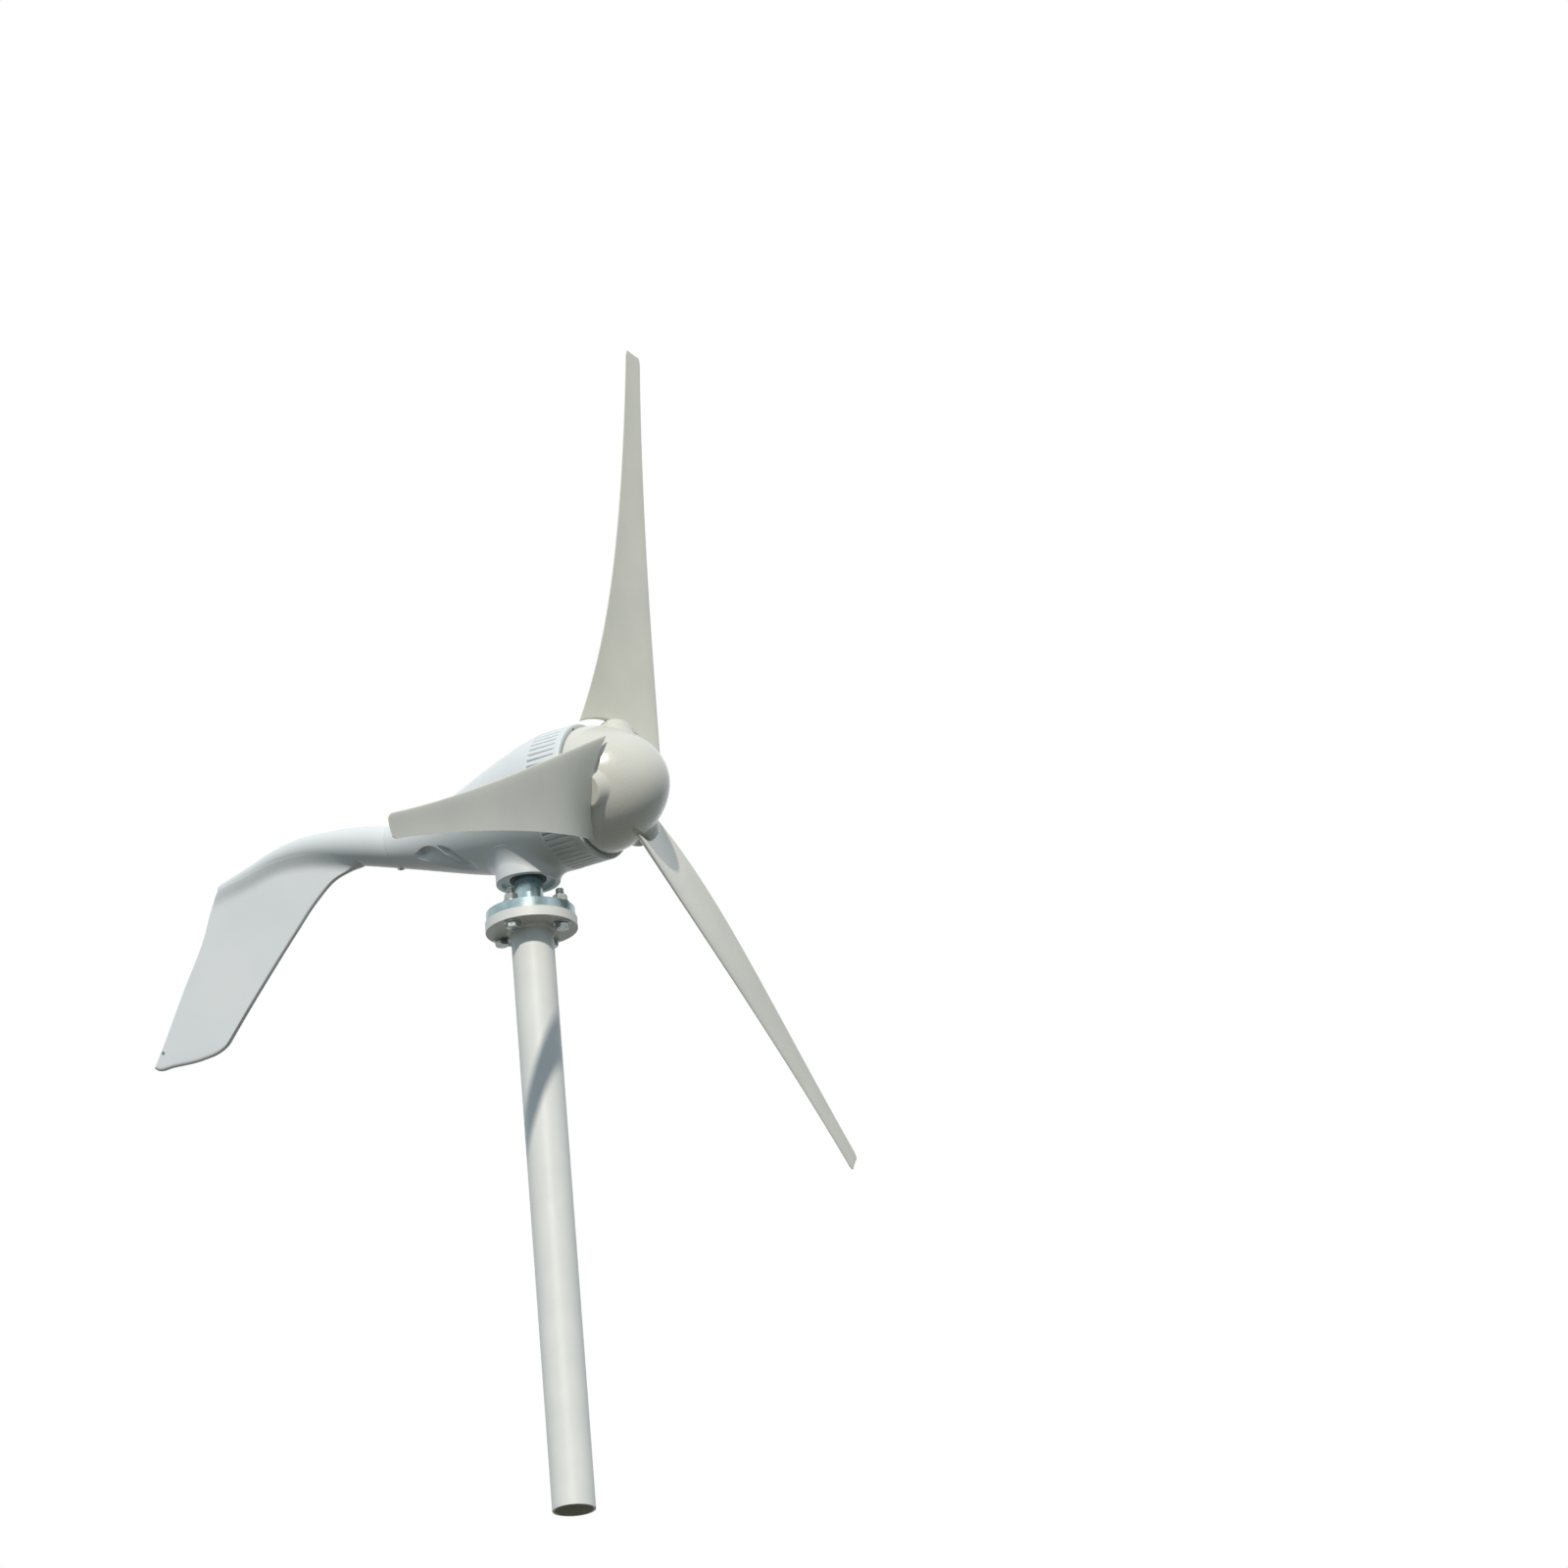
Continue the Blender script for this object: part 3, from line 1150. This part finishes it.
# ---- tail ------------------------------------------------------------------------------------------
@dataclass
class Tail:
    """Boom that flattens into a spine, with a swept vane below it. Sizes in millimetres.

    The boom's rings have their places behind the yaw axis in behind, their heights from the rotor axis
    in top and bottom, and their half widths in half_width. An edge's points have the place behind first
    and the height from the rotor axis second.
    """

    behind: list[float] = field(default_factory=lambda: [
        215.0, 245.0, 285.0, 325.0, 365.0, 410.0, 470.0, 516.0])
    top: list[float] = field(default_factory=lambda: [35.0, 43.5, 51.0, 56.0, 59.0, 54.5, 37.5, 25.0])
    bottom: list[float] = field(default_factory=lambda: [-27.0, -17.0, -4.0, 10.0, 21.0, 25.0, 15.0, 9.0])
    half_width: list[float] = field(default_factory=lambda: [31.0, 30.0, 27.0, 22.0, 17.5, 14.0, 10.0, 6.5])
    rings: int = 120
    ring_points: int = 128
    end_rows: int = 6                # rows of each rounded end and rim
    thickness: float = 8.0
    blend: float = 16.0              # how softly the vane grows out of the boom
    widest: float = 40.0             # more than the joined half width anywhere
    halvings: int = 22
    end_length: float = 3.0          # length over which the boom's end is rounded
    end_start: float = 0.3           # radians of the end's quarter circle that are left out
    edge_round: float = 4.0          # rounding of the vane's rim
    edge_round_most: float = 9.0     # where the vane has grown into the boom
    depth: float = 225.0             # from the crest to the foot, about
    depth_rows: int = 70
    width: float = 190.0             # from edge to edge, about
    width_rows: int = 60
    hole: tuple[float, float] = (628.0, -206.0)      # place behind and height in the lower rear corner
    hole_radius: float = 3.0
    hole_reach: float = 10.0         # the cutter's half length
    hole_points: int = 32
    front_edge: list[tuple[float, float]] = field(default_factory=lambda: [
        (263, 6), (270, -7), (289, -11), (318, -18), (352, -42), (391, -81), (443, -136), (492, -190),
        (516.5, -218)])
    trailing_edge: list[tuple[float, float]] = field(default_factory=lambda: [
        (518, 17), (522, 12), (527, 3.5), (551, -54), (588, -119), (637, -209), (646, -224)])
    foot_edge: list[tuple[float, float]] = field(default_factory=lambda: [
        (516.5, -218), (523, -223.5), (533, -228), (560, -232), (612, -230.5), (640, -228.5), (646, -224)])

    def boom(self) -> Surface:
        """Boom and spine.

        Each ring is an ellipse between the top and bottom curves with the half-width curve's width, and
        the last rings shrink to close the end as a quarter circle.

        Returns:
            The boom, closed at both ends.
        """
        first, last = self.behind[0], self.behind[-1]
        bend = np.linspace(self.end_start, pi / 2, self.end_rows)
        between = np.linspace(first, last, self.rings)
        y = np.concatenate([[first], between, last + self.end_length * np.sin(bend)])
        size = np.concatenate([[0.0], np.ones(self.rings), np.cos(bend[:-1]), [0.0]])[:, None]
        angle = turns(self.ring_points)[None, :]
        top, bottom = through(y, self.behind, self.top), through(y, self.behind, self.bottom)
        half = through(y, self.behind, self.half_width)[:, None]
        centre, reach = ((top + bottom) / 2)[:, None], ((top - bottom) / 2)[:, None]
        x = half * size * np.sin(angle)
        z = centre - reach * size * np.cos(angle)
        return Surface(np.stack([x, y[:, None] + 0 * angle, AXIS_HEIGHT + z], axis=-1))

    def width_beside(self, y: np.ndarray, z: np.ndarray, plate: np.ndarray) -> np.ndarray:
        """Half width of the vane softly joined to the boom.

        The joined surface is where a soft minimum of two distances is zero: that to the plate and that to
        the boom's ellipse. It is found by halving an interval, for all points at once.

        Args:
            y: distance behind the yaw axis.
            z: height from the rotor axis.
            plate: half thickness of the plate alone.
        Returns:
            Half width.
        """
        top, bottom = through(y, self.behind, self.top), through(y, self.behind, self.bottom)
        half = through(y, self.behind, self.half_width)
        centre, reach = (top + bottom) / 2, (top - bottom) / 2
        low, high = np.zeros_like(y), np.full_like(y, self.widest)
        for _ in range(self.halvings):
            x = (low + high) / 2
            to_plate = x - plate
            to_boom = (np.hypot(x / half, (z - centre) / reach) - 1) * np.minimum(half, reach)
            soft = np.maximum(self.blend - np.abs(to_plate - to_boom), 0)
            joined = np.minimum(to_plate, to_boom) - soft**2 / (4 * self.blend)
            low, high = np.where(joined < 0, x, low), np.where(joined < 0, high, x)
        return (low + high) / 2

    @staticmethod
    def along_edge(points: list[tuple[float, float]], share: np.ndarray) -> np.ndarray:
        """Points of a smooth curve through an edge's given points.

        Args:
            points: the edge's given points.
            share: shares of the edge's length.
        Returns:
            A point for each share.
        """
        given = np.array(points, float)
        length = np.concatenate([[0], np.cumsum(np.hypot(*np.diff(given, axis=0).T))])
        length = length / length[-1]
        return np.stack([through(share, list(length), list(given[:, k])) for k in (0, 1)], axis=-1)

    def vane(self) -> Surface:
        """Vane.

        Its outline is filled by a Coons patch: the two ruled surfaces between opposite edges added, less
        the bilinear surface of the corners. The half width beside each point falls as a quarter ellipse
        near the free edges, so that both faces meet in a rounded rim.

        Returns:
            The vane, both faces as one closed surface.
        """
        close = self.edge_round * (1 - np.cos(np.linspace(0, pi / 2, self.end_rows)))
        down = np.linspace(0, 1 - self.edge_round / self.depth, self.depth_rows)
        down = np.concatenate([down, 1 - close[::-1][1:] / self.depth])
        inset = self.edge_round / self.width
        between = np.linspace(inset, 1 - inset, self.width_rows)[1:-1]
        side_shares = np.concatenate([close / self.width, between, 1 - close[::-1] / self.width])
        r, s = down[:, None, None], side_shares[None, :, None]
        front = self.along_edge(self.front_edge, down)[:, None, :]
        rear = self.along_edge(self.trailing_edge, down)[:, None, :]
        foot = self.along_edge(self.foot_edge, side_shares)[None, :, :]
        crest_y = front[0, 0, 0] + (rear[0, 0, 0] - front[0, 0, 0]) * side_shares
        crest_z = (through(crest_y, self.behind, self.top) + through(crest_y, self.behind, self.bottom)) / 2
        lift = crest_z - (crest_z[0] + (crest_z[-1] - crest_z[0]) * side_shares)
        crest_z = front[0, 0, 1] + (rear[0, 0, 1] - front[0, 0, 1]) * side_shares + lift
        crest = np.stack([crest_y, crest_z], axis=-1)[None, :, :]
        corners = ((1 - r) * ((1 - s) * crest[:, :1] + s * crest[:, -1:])
                   + r * ((1 - s) * foot[:, :1] + s * foot[:, -1:]))
        plan = (1 - s) * front + s * rear + (1 - r) * crest + r * foot - corners
        y, z = plan[..., 0], plan[..., 1]
        width = np.linalg.norm(rear - front, axis=-1)
        to_edge = np.minimum(side_shares[None, :], 1 - side_shares[None, :]) * width
        to_edge = np.minimum(to_edge, (1 - down[:, None]) * self.depth)
        whole = self.width_beside(y, z, np.full_like(y, self.thickness / 2))
        rounding = np.clip(to_edge / np.clip(whole, self.edge_round, self.edge_round_most), 0, 1)
        half = whole * np.sqrt(np.maximum(1 - (1 - rounding) ** 2, 0))
        half[0] = 0.0
        near = np.stack([half, y, AXIS_HEIGHT + z], axis=-1)
        far = np.stack([-half, y, AXIS_HEIGHT + z], axis=-1)[:, ::-1]
        return Surface(np.concatenate([near, far[:, 1:-1]], axis=1))

    def hole_cutter(self) -> Surface:
        """Round bar across the vane's lower rear corner.

        Returns:
            The bar.
        """
        y, z = self.hole
        angle = turns(self.hole_points)[None, :]
        x = self.hole_reach * np.array([-1.0, -1.0, 1.0, 1.0])[:, None]
        size = self.hole_radius * np.array([0.0, 1.0, 1.0, 0.0])[:, None]
        points = np.broadcast_arrays(x, y + size * np.cos(angle), AXIS_HEIGHT + z + size * np.sin(angle))
        return Surface(np.stack(points, axis=-1))

    def build(self) -> None:
        """Makes the boom and the vane."""
        finish_piece(raw_mesh("tail_boom", [self.boom()]), BODY_COAT, "nacelle", ["tail_fin"], crease=50)
        vane = raw_mesh("tail_vane", [self.vane()])
        cut(vane, [self.hole_cutter()])
        finish_piece(vane, BODY_COAT, "nacelle", ["tail_fin"], crease=50)


# ---- studio ----------------------------------------------------------------------------------------
@dataclass
class Studio:
    """Floor, light and camera. Lengths in metres."""

    floor_height: float = -4.6
    floor_size: float = 240.0
    floor_colour: str = "#eeeeec"
    bounce_colour: str = "#5f5a4b"   # what the floor sends up to the object
    sky_colour: str = "#cbe3f8"
    sky_strength: float = 0.6
    key_strength: float = 2.8
    key_colour: str = "#fff7ea"
    key_spread: float = 1.5          # degrees, softness of the key light's shadows
    key_turn: float = 62.0           # degrees from where the rotor faces, towards -X
    key_height: float = 37.0         # degrees above the horizon
    # the camera's place, and its own two directions across and up
    eye: tuple[float, float, float] = (-8.801, -5.2486, -3.0107)
    right: tuple[float, float, float] = (0.5068, -0.8584, -0.0801)
    up: tuple[float, float, float] = (-0.2795, -0.2515, 0.9266)
    lens: float = 178.95
    sensor: float = 36.0
    view_depth: float = 500.0        # past the floor's far corner

    def floor(self) -> None:
        """Pale floor. Light that bounces from it to the object is dimmer than what the camera sees."""
        half = self.floor_size / 2
        mesh = bpy.data.meshes.new("floor")
        corners = [(-half, -half), (half, -half), (half, half), (-half, half)]
        mesh.from_pydata([(x, y, self.floor_height) for x, y in corners], [], [(0, 1, 2, 3)])
        plane = bpy.data.objects.new("floor", mesh)
        bpy.context.scene.collection.objects.link(plane)
        material = bpy.data.materials.new("matt_studio_floor")
        material.use_nodes = True
        tree = material.node_tree
        tree.nodes.clear()
        colour = add(tree, "ShaderNodeMix", {
            MIX_FACTOR: self.seen(tree), MIX_FIRST: linear(self.bounce_colour),
            MIX_SECOND: linear(self.floor_colour)}, data_type="RGBA")
        diffuse = add(tree, "ShaderNodeBsdfDiffuse", {"Color": colour.outputs[MIX_RESULT]})
        add(tree, "ShaderNodeOutputMaterial", {"Surface": diffuse.outputs["BSDF"]})
        mesh.materials.append(material)

    @staticmethod
    def seen(tree: bpy.types.NodeTree) -> bpy.types.NodeSocket:
        """Switch between what is seen and what lights the object.

        Args:
            tree: the floor's or the sky's node tree.
        Returns:
            Socket that is 1 for rays from the camera, from gloss and through glass, 0 for diffuse light.
        """
        path = add(tree, "ShaderNodeLightPath")
        either = add(tree, "ShaderNodeMath", {
            0: path.outputs["Is Camera Ray"], 1: path.outputs["Is Glossy Ray"]}, operation="MAXIMUM")
        third = add(tree, "ShaderNodeMath", {
            0: either.outputs[0], 1: path.outputs["Is Transmission Ray"]}, operation="MAXIMUM")
        return third.outputs[0]

    def sky(self) -> None:
        """White background for the eye and for gloss, soft blue-white light for the object."""
        world = bpy.data.worlds.new("studio")
        world.use_nodes = True
        tree = world.node_tree
        tree.nodes.clear()
        seen = self.seen(tree)
        light = add(tree, "ShaderNodeBackground", {
            "Color": linear(self.sky_colour), "Strength": self.sky_strength})
        white = add(tree, "ShaderNodeBackground", {"Color": (1.0, 1.0, 1.0, 1.0), "Strength": 1.0})
        both = add(tree, "ShaderNodeMixShader", {0: seen, 1: light.outputs[0], 2: white.outputs[0]})
        add(tree, "ShaderNodeOutputWorld", {"Surface": both.outputs[0]})
        bpy.context.scene.world = world

    def key(self) -> None:
        """Key light as from the sun, from the front and the -X side."""
        lamp = bpy.data.lights.new("key", "SUN")
        lamp.energy = self.key_strength
        lamp.angle = radians(self.key_spread)
        lamp.color = linear(self.key_colour)[:3]
        source = bpy.data.objects.new("key", lamp)
        turn, rise = radians(self.key_turn), radians(self.key_height)
        towards = Vector((-cos(rise) * sin(turn), -cos(rise) * cos(turn), sin(rise)))
        source.rotation_euler = towards.to_track_quat("Z", "Y").to_euler()
        bpy.context.scene.collection.objects.link(source)

    def camera(self) -> None:
        """Camera below the rotor, in front and to the -X side."""
        data = bpy.data.cameras.new("camera")
        data.lens = self.lens
        data.sensor_width = self.sensor
        data.clip_end = self.view_depth
        eye = bpy.data.objects.new("camera", data)
        right = Vector(self.right).normalized()
        back = right.cross(Vector(self.up)).normalized()
        up = back.cross(right)
        turn = Matrix((right, up, back)).transposed().to_4x4()
        eye.matrix_world = Matrix.Translation(Vector(self.eye)) @ turn
        bpy.context.scene.collection.objects.link(eye)
        bpy.context.scene.camera = eye

    def build(self) -> None:
        """Makes the floor, the sky, the key light and the camera."""
        self.floor()
        self.sky()
        self.key()
        self.camera()
        bpy.context.scene.view_settings.view_transform = "Standard"


def main() -> None:
    """Builds the studio and every sub-assembly in order."""
    logging.basicConfig(level=logging.INFO, format="%(name)s: %(message)s")
    Studio().build()
    dress_nodes()
    MastHead().build()
    Nacelle().build()
    Rotor().build()
    Tail().build()


if __name__ == "__main__":
    main()
